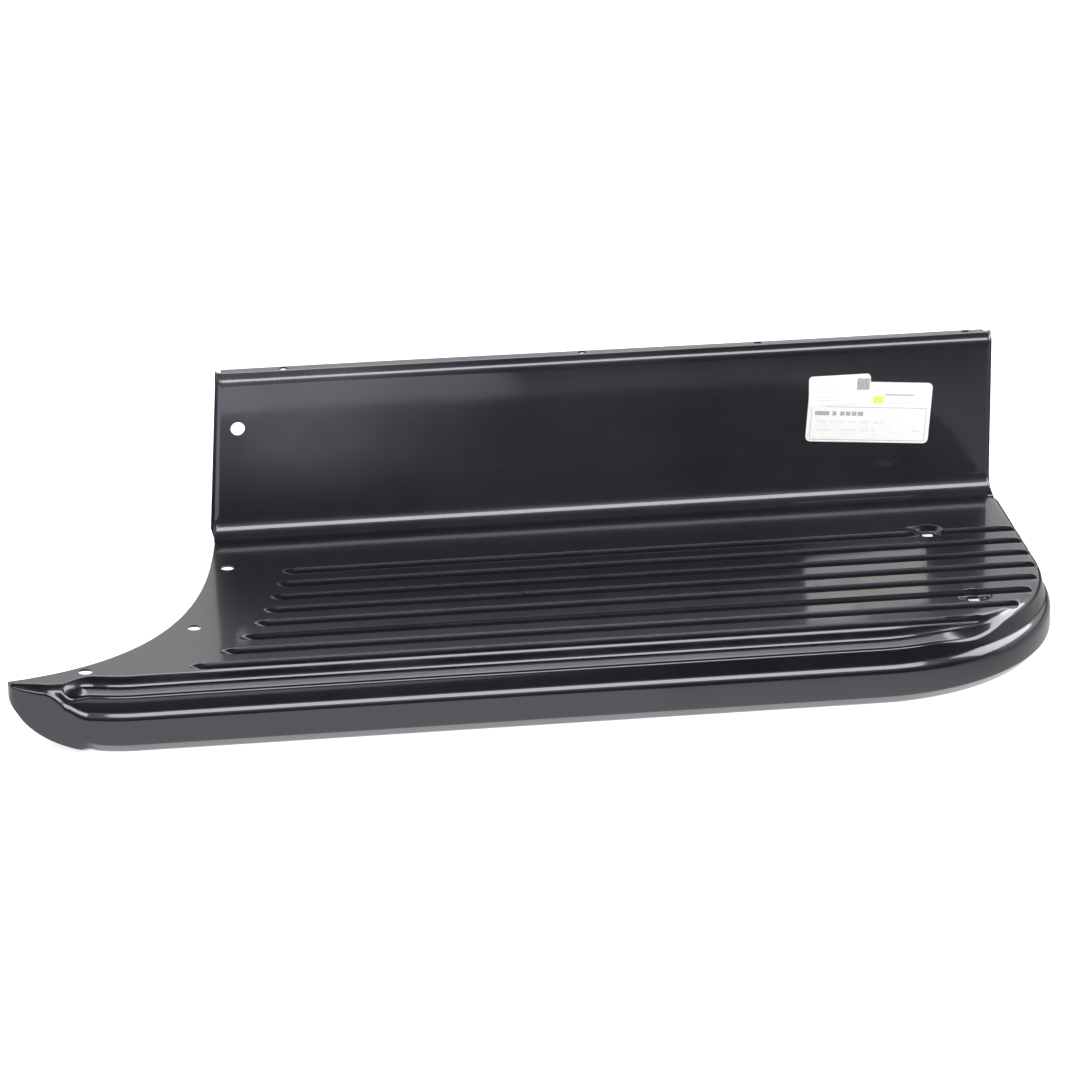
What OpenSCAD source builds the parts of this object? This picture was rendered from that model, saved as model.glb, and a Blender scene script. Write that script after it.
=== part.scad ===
// Truck bed step: one pressed steel sheet with a grooved tread, an upright splash panel,
// a stepped front moulding that runs round the right corner, and a pointed left nose.
// X runs along the step, Y runs back towards the splash panel, Z is up. Millimetres.

/* [Overall size] */
// Length of the upright panel along its foot
panel_length = 615; // [560:5:660]
// Face of the upright panel to the front of the skirt
tread_depth = 304; // [290:2:330]
// Tread to the top of the flange
panel_height = 130; // [100:5:160]
// Tread to the bottom of the skirt
skirt_drop = 51; // [46:1:56]
// Thickness of the steel sheet
sheet = 1.5; // [1.2:0.1:1.8]

/* [Nose and fender cut] */
// How far the nose reaches past the left end of the upright panel
nose_reach = 180; // [165:5:200]
// How far the nose tip is set back from the front of the skirt
nose_setback = 27; // [22:1:32]
// Sideways bow of the fender cut beside the panel
cut_bow = 14; // [8:1:18]

/* [Front moulding] */
// Radius of the right corner at the widest line of the skirt
corner_radius = 160; // [140:5:175]
// How far the skirt stands out past the right end of the upright panel
side_overhang = 12; // [8:1:16]
// Width of the flat strip between the tread edge and the first nosing
strip_width = 9; // [6:0.5:12]
// Height from the tread down to the foot of the moulding's wall
wall_foot = 17.5; // [16:0.5:20]

/* [Grooves] */
// Number of pressed grooves in the tread
groove_count = 8; // [5:1:8]
// Distance from groove to groove
groove_pitch = 25.8; // [25:0.2:26]
// Width of a groove at the tread surface
groove_width = 11.6; // [10:0.2:12.4]
// Depth of a groove
groove_depth = 3; // [2:0.5:3.5]

/* [Upright panel] */
// Inside radius where the panel meets the tread
foot_radius = 14; // [10:1:18]
// Outside radius of the bend at the top
top_radius = 9; // [6:1:11]
// Depth of the flange at the top, from the face of the panel
flange_depth = 17; // [16:1:24]
// Outside radius of the bends at both ends
end_radius = 5; // [4:0.5:7]
// Lean of the left end towards the right at the top
end_lean = 6; // [0:1:8]

/* [Holes] */
// Diameter of the three holes along the fender cut
fender_hole = 10.5; // [8:0.5:11]
// Diameter of the hole in the upright panel
panel_hole = 11; // [8:0.5:13]
// Diameter of the holes in the top flange
flange_hole = 6.5; // [5:0.5:7]
// Side of the square bolt holes in the tread
square_hole = 8.5; // [7:0.5:10]

/* [Paper labels] */
// Width of the large label
label_width = 98; // [80:1:110]
// Height of the large label
label_height = 50; // [40:1:56]
// Tilt of the large label in degrees
label_tilt = 4.5; // [0:0.5:6]

/* [Hidden] */
$fn = 48;

right = panel_length + side_overhang;
front = -tread_depth;
back = flange_depth;
cx = right - corner_radius;
cy = front + corner_radius;
paper = 0.3;
back_edge = -foot_radius;

function lerp(a, b, t) = a + (b - a) * t;
function clamp(t) = min(1, max(0, t));
function ease(t) = let (u = clamp(t)) u * u * (3 - 2 * u);

// Sheet sections. A point is [outward, z, tilt], where tilt is how far the surface normal
// leans out from straight up. A bend with a rising tilt is convex, with a falling tilt hollow.
// Each step of a bend may drift on by e, so that no two points fall together.
function bend(p, r, to, n, e = 0) = let (s = to > p[2] ? 1 : -1)
    [for (k = [1:n]) let (t = lerp(p[2], to, k / n))
        [p[0] + s * r * (sin(t) - sin(p[2])) + k * e * cos(t),
         p[1] + s * r * (cos(t) - cos(p[2])) - k * e * sin(t), t]];
function go(p, len) = [[p[0] + len * cos(p[2]), p[1] - len * sin(p[2]), p[2]]];
function end(list) = list[len(list) - 1];

// g: 1 where the flat strip is full, 0 where it has run out.
// m: 1 where the wall under the first nosing is full, 0 on the nose.
// zb: bottom of the skirt. b: 1 where the bottom is turned under, 0 where it is a cut edge.
// k: scale of all bends. w: width factor of the lower nosing.
function section(g, m, zb, b, k, w) =
    let (wall = lerp(43, 77, m),
         e = 0.15 * k,
         a1 = bend([0, 0, 0], lerp(10, 12, g) * k, lerp(38, 55, m), 5),
         a2 = bend(end(a1), lerp(8, 3, g) * k, lerp(lerp(40, 60, m), 3, g), 3, e),
         a3 = go(end(a2), (0.3 + strip_width * g) * k),
         a4 = bend(end(a3), lerp(8, 4, g) * k, wall, 5, e),
         foot = -lerp(6, wall_foot, m) * k,
         a5 = go(end(a4), max(0.4 * k, (end(a4)[1] - foot) / sin(wall))),
         a6 = bend(end(a5), 4 * k, lerp(46, 34, m), 3, e),
         a7 = bend(end(a6), 6 * w * k, 90, 6),
         rb = lerp(2.5, 6.5, b) * k,
         turn = lerp(91, 180, b),
         lip = lerp(0.4, 8, b) * k,
         a8 = go(end(a7), max(0.3, end(a7)[1] - zb + rb * cos(turn) - (6 * e + lip) * sin(turn))),
         a9 = bend(end(a8), rb, turn, 6, e),
         a10 = go(end(a9), lip))
    concat([[0, 0, 0]], a1, a2, a3, a4, a5, a6, a7, a8, a9, a10);

// Stations along the edge: right side from the back, corner, front, nose and tip.
// A station is [x, y, heading of the outward direction, g, m, zb, b, k, w].
corner_n = 18;
nose_n = 16;
tip_n = 5;
nose_start = -90;
nose_end = 5.2 - nose_reach;
nose_len = nose_reach + nose_start;
tip_radius = 9;
tip_turn = 68;

function nose_u(x) = clamp((nose_start - x) / nose_len);
function nose_y(x) = front + nose_setback * pow(nose_u(x), 1.6);
function nose_slope(x) = nose_setback * 1.6 * pow(nose_u(x), 0.6) / nose_len;
function nose_drop(x) = let (v = clamp((nose_start - 15 - x) / (nose_len - 15)))
    (skirt_drop - 2 * ease((-10 - x) / 100)) * pow(max(0, 1 - pow(v, 2.3)), 1 / 2.3);
function small(h) = clamp(h / 27);

side_stations = [for (f = [0, 1]) [right, lerp(back_edge, cy / 2, f), 0, 0, 1, -skirt_drop, 1, 1, 1.5]];
corner_stations = [for (i = [0:corner_n]) let (a = -90 * i / corner_n)
    [cx + corner_radius * cos(a), cy + corner_radius * sin(a), a,
     ease((-a - 42) / 34), 1, -skirt_drop, 1, 1, lerp(1.5, 1, ease((-a - 30) / 60))]];
front_stations = [for (x = [cx / 2, 0, -45, -70]) [x, front, -90, 1, 1, -nose_drop(x), 1, 1, 1]];
nose_stations = [for (i = [0:nose_n])
    let (x = lerp(nose_start, nose_end, i / nose_n), h = nose_drop(x))
    [x, nose_y(x), -90 - atan(nose_slope(x)), ease((x + 141) / 26), ease((x + 148) / 48), -h,
     ease((x + 138) / 22), small(h), 1]];
// The tip turns back on a small radius.
tip_stations = [for (i = [1:tip_n])
    let (s = end(nose_stations), a = s[2] - tip_turn * i / tip_n, h = -s[5] * lerp(1, 0.42, i / tip_n))
    [s[0] + tip_radius * (cos(a) - cos(s[2])), s[1] + tip_radius * (sin(a) - sin(s[2])), a,
     0, 0, -h, 0, small(h), 1]];
stations = concat(side_stations, corner_stations, front_stations, nose_stations, tip_stations);
first_nose = len(stations) - len(nose_stations) - len(tip_stations);

function run(sec) = max([for (p = sec) p[0]]);
function in_from(st, d) = [st[0] - d * cos(st[2]), st[1] - d * sin(st[2])];
function station_section(st) = section(st[3], st[4], st[5], st[6], st[7], st[8]);

// The fender cut, from the foot of the panel to the tip of the nose.
tip = end(stations);
tip_flat = in_from(tip, run(station_section(tip)) + 0.8);
function cut(t) = pow(1 - t, 3) * [0, back_edge] + 3 * t * pow(1 - t, 2) * [-cut_bow, -108]
    + 3 * t * t * (1 - t) * [-40, 0.8 * front] + pow(t, 3) * tip_flat;
// Finds where the cut crosses a given x, by halving.
function cut_at(x, lo = 0.3, hi = 1, n = 24) = let (mid = (lo + hi) / 2)
    n == 0 ? mid : cut(mid)[0] > x ? cut_at(x, mid, hi, n - 1) : cut_at(x, lo, mid, n - 1);
t_nose = cut_at(nose_start);

// The flat beside the moulding reaches the fender cut on the nose, and 0.6 mm elsewhere.
function flat_point(i, reach) = i < first_nose ? in_from(stations[i], reach + 0.6)
    : cut(lerp(t_nose, 1, (i - first_nose) / (len(stations) - 1 - first_nose)));

// One station's outline: the outer skin outwards, then the inner skin back.
function outline(i) = let (
        st = stations[i],
        sec = station_section(st),
        reach = run(sec),
        f = flat_point(i, reach))
    concat([[f[0], f[1], 0]],
        [for (p = sec) concat(in_from(st, reach - p[0]), p[1])],
        [for (j = [len(sec) - 1:-1:0]) let (p = sec[j])
            concat(in_from(st, reach - p[0] + sheet * sin(p[2])), p[1] - sheet * cos(p[2]))],
        [[f[0], f[1], -sheet]]);
loops = [for (i = [0:len(stations) - 1]) outline(i)];
left = min([for (l = loops) for (p = l) p[0]]);

// The frame's origin is under the middle of the whole step, at the bottom of the skirt.
shift = [-(left + right) / 2, -(front + back) / 2, skirt_drop];

module edge_moulding() {
    n = len(loops[0]);
    m = len(loops);
    e = (m - 1) * n;
    sides = [for (i = [0:m - 2]) for (j = [0:n - 1]) let (
            a = i * n + j, b = i * n + (j + 1) % n, c = a + n, d = b + n)
        each [[a, d, c], [a, b, d]]];
    caps = [for (j = [0:n / 2 - 2])
        each [[j, n - 2 - j, j + 1], [j, n - 1 - j, n - 2 - j],
              [e + j, e + j + 1, e + n - 2 - j], [e + j, e + n - 2 - j, e + n - 1 - j]]];
    polyhedron(points = [for (l = loops) each l], faces = concat(sides, caps), convexity = 8);
}

module tread_flat() {
    translate([0, 0, -sheet]) linear_extrude(sheet) difference() {
        polygon(concat(
            [for (i = [0:14]) cut(t_nose * i / 14)],
            [for (i = [first_nose - 1:-1:0]) [loops[i][0][0], loops[i][0][1]]]));
        polygon(concat(
            [for (r = rows) [row_x(r)[0], row_y(r)]],
            [for (i = [len(rows) - 1:-1:0]) [row_x(rows[i])[9], row_y(rows[i])]]));
    }
}

// Grooves: the far edge of the first one is 79 mm in front of the panel. The left ends keep
// clear of the fender cut, the right ends stop just inside the rounded edge.
half_groove = groove_width / 2;
groove_r = (half_groove * half_groove + groove_depth * groove_depth) / (2 * groove_depth);
groove_z = groove_r - groove_depth;
groove_under = sqrt(pow(groove_r + sheet, 2) - pow(groove_z + sheet, 2));
front_flat = front + run(section(1, 1, -skirt_drop, 1, 1, 1));
function groove_y(k) = front_flat + groove_under + 1.2 + groove_pitch * (groove_count - 1 - k);
function groove_left(k) = 50 - 7.5 * k - 36 * pow(k / 7, 5) + half_groove;
function groove_right(k) = let (v = max(0, cy - groove_y(k)), r = corner_radius - lerp(17, 30, v / 130))
    cx + sqrt(max(1, r * r - v * v)) - half_groove - 4.5;

// The grooved field is a grid: rows run across the grooves, columns along them.
// A row is [groove, place across it], where 1 is the far edge and -1 the near one.
rows = concat([[0, 2]],
    [for (k = [0:groove_count - 1]) for (q = [1, 0.76, 0.4, 0, -0.4, -0.76, -1]) [k, q]],
    [[groove_count - 1, -1.15]]);
function row_y(r) = groove_y(r[0]) + r[1] * half_groove;
function row_x(r) = let (
        l = groove_left(r[0]), e = groove_right(r[0]),
        c = half_groove * sqrt(max(0, 1 - r[1] * r[1])))
    concat([l - half_groove - 4], [for (f = [0, 0.25, 0.6, 1]) l - c * (1 - f) + 0.02 * f],
        [for (f = [1, 0.6, 0.25, 0]) e + c * (1 - f) - 0.02 * f], [e + half_groove + 3]);
function grid_point(r, x, under) = let (
        mid = clamp_to(x, groove_left(r[0]), groove_right(r[0])),
        d = [x - mid, r[1] * half_groove],
        n = norm(d),
        inside = n < 0.98 * half_groove,
        rim = !inside && n < 1.02 * half_groove && abs(r[1]) <= 1,
        z = inside ? groove_z - sqrt(groove_r * groove_r - n * n) : 0,
        f = !under ? 1 : inside ? (groove_r + sheet) / groove_r : rim ? groove_under / half_groove : 1)
    [mid + d[0] * f, groove_y(r[0]) + d[1] * f,
     !under ? z : inside ? groove_z - (groove_z - z) * (groove_r + sheet) / groove_r : -sheet];
function clamp_to(x, a, b) = min(b, max(a, x));

module grooved_field() {
    xs = [for (r = rows) row_x(r)];
    n = len(xs[0]);
    m = len(rows);
    top = [for (i = [0:m - 1]) for (x = xs[i]) grid_point(rows[i], x, false)];
    low = [for (i = [0:m - 1]) for (x = xs[i]) grid_point(rows[i], x, true)];
    w = m * n;
    faces = concat(
        [for (i = [0:m - 2]) for (j = [0:n - 2]) let (a = i * n + j, b = a + 1, c = a + n, d = c + 1)
            each [[a, b, d], [a, d, c], [w + a, w + d, w + b], [w + a, w + c, w + d]]],
        [for (i = [0:m - 2]) let (a = i * n, c = a + n, b = a + n - 1, d = c + n - 1)
            each [[a, c, w + c], [a, w + c, w + a], [b, w + d, d], [b, w + b, w + d]]],
        [for (j = [0:n - 2]) let (e = (m - 1) * n + j)
            each [[j, w + j + 1, j + 1], [j, w + j, w + j + 1],
                  [e, e + 1, w + e + 1], [e, w + e + 1, w + e]]]);
    polyhedron(points = concat(top, low), faces = faces, convexity = 8);
}

// Square bolt holes, each in a round dimple that takes the head.
function bolt_at(i) = i == 0 ? [panel_length - 67, -80] : [panel_length - 61, -219];
dimple_r = 12;
dimple_depth = 3.5;

module dimples_below() {
    for (i = [0, 1]) translate([bolt_at(i)[0], bolt_at(i)[1], -dimple_depth - sheet])
        cylinder(h = dimple_depth + sheet / 2, r1 = dimple_r - dimple_depth + 0.62,
            r2 = dimple_r + sheet / 2 + 0.62);
}

module dimples_above() {
    for (i = [0, 1]) translate([bolt_at(i)[0], bolt_at(i)[1], 0]) {
        translate([0, 0, -dimple_depth])
            cylinder(h = dimple_depth + 1, r1 = dimple_r - dimple_depth, r2 = dimple_r + 1);
        cube([square_hole, square_hole, 20], center = true);
    }
}

// Holes along the fender cut, from the panel towards the nose.
function fender_at(i) = i == 0 ? [4, -69] : i == 1 ? [-34, -188] : [-122, 8.5 + cut(cut_at(-122))[1] - 19];

// The upright panel with its foot, top flange and turned-back ends.
face_top = panel_height - top_radius;
lean = atan(end_lean / (face_top - foot_radius));

// A quarter of a bent sheet: from straight down to straight back, running along X.
module quarter_bend(r, len) {
    rotate([0, 90, 0]) rotate_extrude(angle = 90) translate([r - sheet, 0]) square([sheet, len]);
}

module end_return() {
    h = 2 * panel_height;
    translate([end_radius, end_radius, -20]) rotate([0, 0, 180])
        rotate_extrude(angle = 90) translate([end_radius - sheet, 0]) square([sheet, h]);
    translate([0, end_radius, -20]) cube([sheet, 9, h]);
}

module upright_panel() {
    translate([0, -foot_radius, foot_radius]) quarter_bend(foot_radius + sheet, panel_length);
    translate([0, sheet, 0]) rotate([90, 0, 0]) linear_extrude(sheet) polygon([
        [end_radius, foot_radius], [panel_length - end_radius, foot_radius],
        [panel_length - end_radius, face_top], [end_radius + end_lean, face_top]]);
    translate([end_lean + 4, top_radius, face_top]) rotate([180, 0, 0])
        quarter_bend(top_radius, panel_length - end_lean - 8);
    translate([end_lean + 4, top_radius, panel_height - sheet])
        cube([panel_length - end_lean - 8, flange_depth - top_radius, sheet]);
    intersection() {
        union() {
            translate([0, 0, foot_radius]) rotate([0, lean, 0]) end_return();
            translate([panel_length, 0, foot_radius]) mirror([1, 0, 0]) end_return();
        }
        translate([-50, -10, foot_radius]) cube([panel_length + 100, 60, face_top - foot_radius - 1]);
    }
}

// Holes in the top flange, as shares of the panel's length.
flange_at = [0.096, 0.475, 0.7, 0.968];
flange_hole_y = flange_depth - 4.5;
panel_hole_in = 21.5;
panel_hole_down = 43;

module panel_holes() {
    translate([panel_hole_in, 5, panel_height - panel_hole_down]) rotate([90, 0, 0])
        cylinder(h = 10, d = panel_hole);
    for (f = flange_at) translate([f * panel_length, flange_hole_y, panel_height - 6])
        cylinder(h = 12, d = flange_hole);
}

module step() {
    color("#17181a") translate(shift) difference() {
        union() {
            edge_moulding();
            tread_flat();
            grooved_field();
            dimples_below();
            upright_panel();
        }
        dimples_above();
        panel_holes();
        for (i = [0:2]) translate([fender_at(i)[0], fender_at(i)[1], -6]) cylinder(h = 12, d = fender_hole);
    }
}

// Paper labels on the face of the panel.
module rounded(w, h, r) {
    square([w - 2 * r, h], center = true);
    square([w, h - 2 * r], center = true);
    for (x = [-1, 1]) for (y = [-1, 1]) translate([x * (w / 2 - r), y * (h / 2 - r)]) circle(r);
}

label_at = [panel_length - 98, panel_height - 59];
module large_plan() {
    translate(label_at) rotate(-label_tilt) rounded(label_width, label_height, 4);
}
module small_plan() {
    translate([label_at[0] - 23.5, label_at[1] + 20]) rounded(49, 24, 3);
}
module upright(y0, y1) {
    translate([0, y1, 0]) rotate([90, 0, 0]) linear_extrude(y1 - y0) children();
}

module label_large() {
    color("#f4f4f2") translate(shift) upright(-paper, 0) large_plan();
}

module label_small() {
    color("#fafaf8") translate(shift) {
        upright(-2 * paper, -paper) small_plan();
        upright(-paper, 0) difference() {
            small_plan();
            large_plan();
        }
    }
}

step();
label_large();
label_small();
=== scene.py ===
import math
from collections import namedtuple

import bpy
import bmesh
from mathutils import Matrix, Vector


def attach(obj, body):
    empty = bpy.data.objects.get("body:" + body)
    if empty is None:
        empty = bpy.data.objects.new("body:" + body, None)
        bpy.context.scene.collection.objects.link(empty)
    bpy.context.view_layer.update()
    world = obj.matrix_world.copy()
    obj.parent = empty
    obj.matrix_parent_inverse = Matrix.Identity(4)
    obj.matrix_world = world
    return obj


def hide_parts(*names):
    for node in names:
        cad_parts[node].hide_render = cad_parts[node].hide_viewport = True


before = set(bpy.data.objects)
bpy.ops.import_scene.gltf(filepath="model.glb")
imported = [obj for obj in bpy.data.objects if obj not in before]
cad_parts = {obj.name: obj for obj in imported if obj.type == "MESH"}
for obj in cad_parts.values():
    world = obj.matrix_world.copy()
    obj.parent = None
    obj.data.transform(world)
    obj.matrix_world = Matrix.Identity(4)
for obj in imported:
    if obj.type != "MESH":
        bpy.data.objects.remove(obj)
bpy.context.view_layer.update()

bl_info = {
    "name": "Truck bed step",
    "version": (1, 0, 0),
    "blender": (4, 5, 0),
    "location": "View3D > Sidebar > Bed step",
    "description": "Builds a pressed steel truck bed step with its paper stickers and a studio round it",
    "category": "Add Mesh",
}


# ---- small helpers -----------------------------------------------------------------------

def linear(code, alpha=1.0):
    """An sRGB hex colour as the linear values that Blender's sockets take."""
    parts = [int(code[i:i + 2], 16) / 255.0 for i in (1, 3, 5)]
    return [c / 12.92 if c <= 0.04045 else ((c + 0.055) / 1.055) ** 2.4 for c in parts] + [alpha]


def lerp(a, b, t):
    return a + (b - a) * t


def clamp(t):
    return min(1.0, max(0.0, t))


def ease(t):
    u = clamp(t)
    return u * u * (3 - 2 * u)


def sin(a):
    return math.sin(math.radians(a))


def cos(a):
    return math.cos(math.radians(a))


# ---- the sheet's shape, in millimetres from the left foot of the upright panel -------------
# X runs along the step, Y back towards the panel, Z up from the top of the tread.

class Sheet:
    """Main sizes of the pressed sheet, as in part.scad. Only the grooves are 0.4 mm deeper,
    because their lips are rounded, and the foot bend is taller."""
    length = 615.0          # upright panel, along its foot
    front = -304.0          # front of the skirt
    height = 130.0          # top of the flange
    drop = 51.0             # tread to the skirt's foot
    thick = 1.5
    nose_reach = 180.0      # nose tip past the panel's left end
    nose_setback = 27.0     # nose tip behind the skirt's front
    cut_bow = 14.0          # sideways bow of the fender cut beside the panel
    cut_turn = -108.0       # y up to which the cut runs back from the panel
    cut_low = (-40.0, 0.8 * front)  # where the cut heads before it turns along the nose
    corner = 160.0          # radius of the right corner
    right = 627.0           # right side of the skirt
    wall_foot = 17.5        # tread to the foot of the moulding's wall
    strip = 9.0             # flat strip between the moulding's roll and nosing
    grooves = 8
    pitch = 25.8            # groove to groove
    half = 5.8              # half a groove's width
    depth = 3.4
    groove_start = 50.0     # left end of the groove nearest the panel
    groove_step = 7.5       # how much further left each next one starts
    groove_sweep = 36.0     # and how much the last one is drawn out into the nose
    foot = 14.0             # depth of the bend from tread to panel
    foot_top = 16.5         # its height: it opens out as it rises
    top = 9.0               # outside radius of the bend at the top
    flange = 17.0
    end = 5.0               # bend into the turned-back ends
    end_leg = 9.0           # length of their leg behind that bend
    lean = 6.0              # how far the left end leans in at the top


class Holes:
    """Places and sizes of the holes. The one in the panel is given as x and z."""
    fender_r, panel_r, flange_r = 5.25, 5.5, 3.25
    fender = ((4.0, -69.0), (-34.0, -188.0))
    nose_x, nose_in = -122.0, 10.5      # the nose's hole and how far it lies in from the cut
    panel = (21.5, 87.0)
    flange = (0.096, 0.475, 0.7, 0.968)     # shares of the panel's length
    flange_y = 12.5
    bolts = ((548.0, -80.0), (554.0, -219.0))   # the two square ones, in round dimples
    square = 8.5
    dimple_r, dimple_slope, dimple_depth = 13.2, 5.6, 3.5


class Moulding:
    """Bends of the moulding. A pair holds a size where a part has faded out, at the tip of the
    nose, and where it is whole. Radii are in millimetres, tilts in degrees below level."""
    roll, roll_tilt = (7.0, 10.0), (38.0, 55.0)
    roll_by_strip = 12.0
    hollow, hollow_tilt = (8.0, 1.6), (40.0, 60.0)
    strip_tilt, strip_least, strip_more = 3.0, 0.3, 2.0
    nosing = (8.0, 2.8)
    wall_tilt, wall_foot = (46.0, 77.0), (3.4, Sheet.wall_foot)
    low_hollow, low_tilt = (4.0, 6.0), (46.0, 51.0)
    edge = (4.5, 8.5)
    # The foot of the skirt is folded in under it, first to a slope, then level.
    fold, fold_tilt, fold_slope = (1.0, 1.9), (91, 132), (0.3, 9.0)
    hem, hem_tilt, hem_lip = (0.5, 2.5), (92, 180), (0.2, 5)
    # Places along the nose where a part is gone and where it is whole.
    fall_span, strip_span = (-76.0, -16.0), (-144.0, -122.0)
    wall_span, fold_span = (-157.0, -123.0), (-138.0, -116.0)
    tip_radius, tip_turn = 9.0, 68.0


S, H, M = Sheet, Holes, Moulding
CX, CY = S.right - S.corner, S.front + S.corner
BACK = -S.foot
FACE_TOP = S.height - S.top
NOSE_START, NOSE_END = -90.0, 5.2 - S.nose_reach
NOSE_LEN = S.nose_reach + NOSE_START


def bend(p, r, to, n, drift=0.0):
    """A bend of a section: n points from tilt p[2] to tilt to, drifting on by drift in all."""
    s = 1 if to > p[2] else -1
    out = []
    for k in range(1, n + 1):
        t, e = lerp(p[2], to, k / n), drift * k / n
        out.append((p[0] + s * r * (sin(t) - sin(p[2])) + e * cos(t),
                    p[1] + s * r * (cos(t) - cos(p[2])) - e * sin(t), t))
    return out


def go(p, length, n=1):
    """A straight stretch of a section: n points on from p at its tilt."""
    return [(p[0] + length * cos(p[2]) * k / n, p[1] - length * sin(p[2]) * k / n, p[2])
            for k in range(1, n + 1)]


# The tread starts to fall 4.5 mm before the moulding, on a radius of 45 mm.
FALL_R, FALL_D = 45.0, 4.5

# A place along the edge: x and y of the skirt's widest line, heading of the outward direction,
# how far the strip and the wall have grown from 0 to 1, height of the skirt's foot, how far it
# is folded in, a scale for the bends where the skirt gets low, the roundness of the lower edge
# and the share of the tread's fall.
Station = namedtuple("Station", "x y heading strip wall foot_z folded scale edge fall")


def fall(d, q):
    """How far the tread has fallen at distance d from the moulding's flat edge."""
    return -q * max(0.0, FALL_D - d) ** 2 / (2 * FALL_R)


def section(g, m, foot_z, b, k, w, q=1.0):
    """The moulding's section: points [outward, z, tilt] from the flat to the lip below.

    g, m and b say how far strip, wall and fold have grown, k scales the bends, w is the
    roundness of the lower edge and q the share of the tread's fall.
    """
    wall = lerp(*M.wall_tilt, ease(m * 2.2))
    wall_foot = -lerp(*M.wall_foot, m) * k
    lean = math.degrees(FALL_D / FALL_R) * q
    out = [(0.0, fall(0, q), lean)]
    out += bend(out[-1], FALL_R, lean + 3.3 * max(q, 0.05), 3, 0.02)
    roll = lerp(lerp(*M.roll, m), M.roll_by_strip, g) * lerp(1, 0.91, q) * k
    out += bend(out[-1], roll, lerp(*M.roll_tilt, m), 14)
    out += bend(out[-1], lerp(*M.hollow, g) * k, lerp(lerp(*M.hollow_tilt, m), M.strip_tilt, g), 10, 0.45 * k)
    out += go(out[-1], (M.strip_least + (S.strip + M.strip_more) * g) * k, 2)
    out += bend(out[-1], lerp(*M.nosing, g) * k, wall, 12, 0.75 * k)
    out += go(out[-1], max(0.4 * k, (out[-1][1] - wall_foot) / sin(wall)), 2)
    out += bend(out[-1], lerp(*M.low_hollow, m) * k, lerp(*M.low_tilt, m), 8, 0.45 * k)
    out += bend(out[-1], lerp(*M.edge, m) * w * k, 90, 14)
    hem = bend((0.0, 0.0, 90), lerp(*M.fold, b) * k, lerp(*M.fold_tilt, b), 6)
    hem += go(hem[-1], lerp(*M.fold_slope, b) * k, 3)
    hem += bend(hem[-1], lerp(*M.hem, b) * k, lerp(*M.hem_tilt, b), 5)
    hem += go(hem[-1], lerp(*M.hem_lip, b) * k)
    out += go(out[-1], max(0.3, out[-1][1] - foot_z + min(p[1] for p in hem)), 4)
    x, z, _ = out[-1]
    return out + [(x + p[0], z + p[1], p[2]) for p in hem]


def nose_u(x):
    """How far along the nose x lies, from 0 at its start to 1 at its tip."""
    return clamp((NOSE_START - x) / NOSE_LEN)


def nose_y(x):
    return S.front + S.nose_setback * nose_u(x) ** 1.6


def nose_slope(x):
    return S.nose_setback * 1.6 * nose_u(x) ** 0.6 / NOSE_LEN


def grown(x, span):
    """How far a part has grown at x, between the places where it is gone and where it is whole."""
    return ease((x - span[0]) / (span[1] - span[0]))


def nose_drop(x):
    """Tread to the skirt's foot: it rises to the tip, and 2 mm more where the fold ends."""
    v = clamp((NOSE_START - 15 - x) / (NOSE_LEN - 15))
    return (S.drop - 2 * (1 - grown(x, M.fold_span))) * max(0.0, 1 - v ** 2.3) ** (1 / 2.3)


def corner_edge(a):
    """The lower edge is rounder at the right than in front; a is the turn from the right."""
    return lerp(1.7, 1, ease((a - 45) / 45))


def corner_strip(a):
    """The flat strip runs out round the corner."""
    return ease((a - 42) / 34)


def corner_run(a):
    """How far the moulding reaches outwards at turn a of the corner."""
    return run(section(corner_strip(a), 1, -S.drop, 1, 1, corner_edge(a)))


def small(h):
    """The scale of the bends where the skirt is only h high."""
    return clamp((h - 4) / 34)


def side_places():
    """The y of the stations along the right side, close together where grooves run out."""
    grooves = (-86.6, -112.4, -138.2)
    ys = [y + 1.2 * i for y in grooves for i in range(6, -7, -1)]
    return [BACK, -32.0, -52.0, -70.0] + [y for y in ys if y > CY + 0.8]


def all_stations():
    """The stations from the right side round the corner, along the front and into the nose."""
    out = [Station(S.right, y, 0.0, 0.0, 1.0, -S.drop, 1.0, 1.0, corner_edge(0), 1.0) for y in side_places()]
    # They lie close together on the corner's first part, where the grooves run out over the roll.
    turns = [0.64 * i for i in range(86)]
    turns += [lerp(turns[-1], 90.0, i / 22) for i in range(1, 23)]
    for a in turns:
        out.append(Station(CX + S.corner * cos(-a), CY + S.corner * sin(-a), -a, corner_strip(a), 1.0,
                           -S.drop, 1.0, 1.0, corner_edge(a), 1.0))
    for x in (CX * 0.75, CX / 2, CX * 0.25, 0, -12, -20, -28, -36, -44, -52, -60, -68, -76):
        out.append(Station(x, S.front, -90.0, 1.0, 1.0, -nose_drop(x), 1.0, 1.0, 1.0, grown(x, M.fall_span)))
    gone, whole = M.strip_span
    n = 64
    for i in range(n + 1):
        x = lerp(NOSE_START, NOSE_END, i / n)
        h = nose_drop(x)
        out.append(Station(x, nose_y(x), -90 - math.degrees(math.atan(nose_slope(x))),
                           1 - clamp((whole - x) / (whole - gone)) ** 2.2, grown(x, M.wall_span), -h,
                           grown(x, M.fold_span), small(h), 1.0, 0.0))
    # The tip turns back on a small radius.
    s, n = out[-1], 18
    for i in range(1, n + 1):
        a = s.heading - M.tip_turn * i / n
        h = -s.foot_z * lerp(1, 0.42, i / n)
        x, y = s.x + M.tip_radius * (cos(a) - cos(s.heading)), s.y + M.tip_radius * (sin(a) - sin(s.heading))
        out.append(Station(x, y, a, 0.0, 0.0, -h, 0.0, small(h), 1.0, 0.0))
    return out


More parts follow.
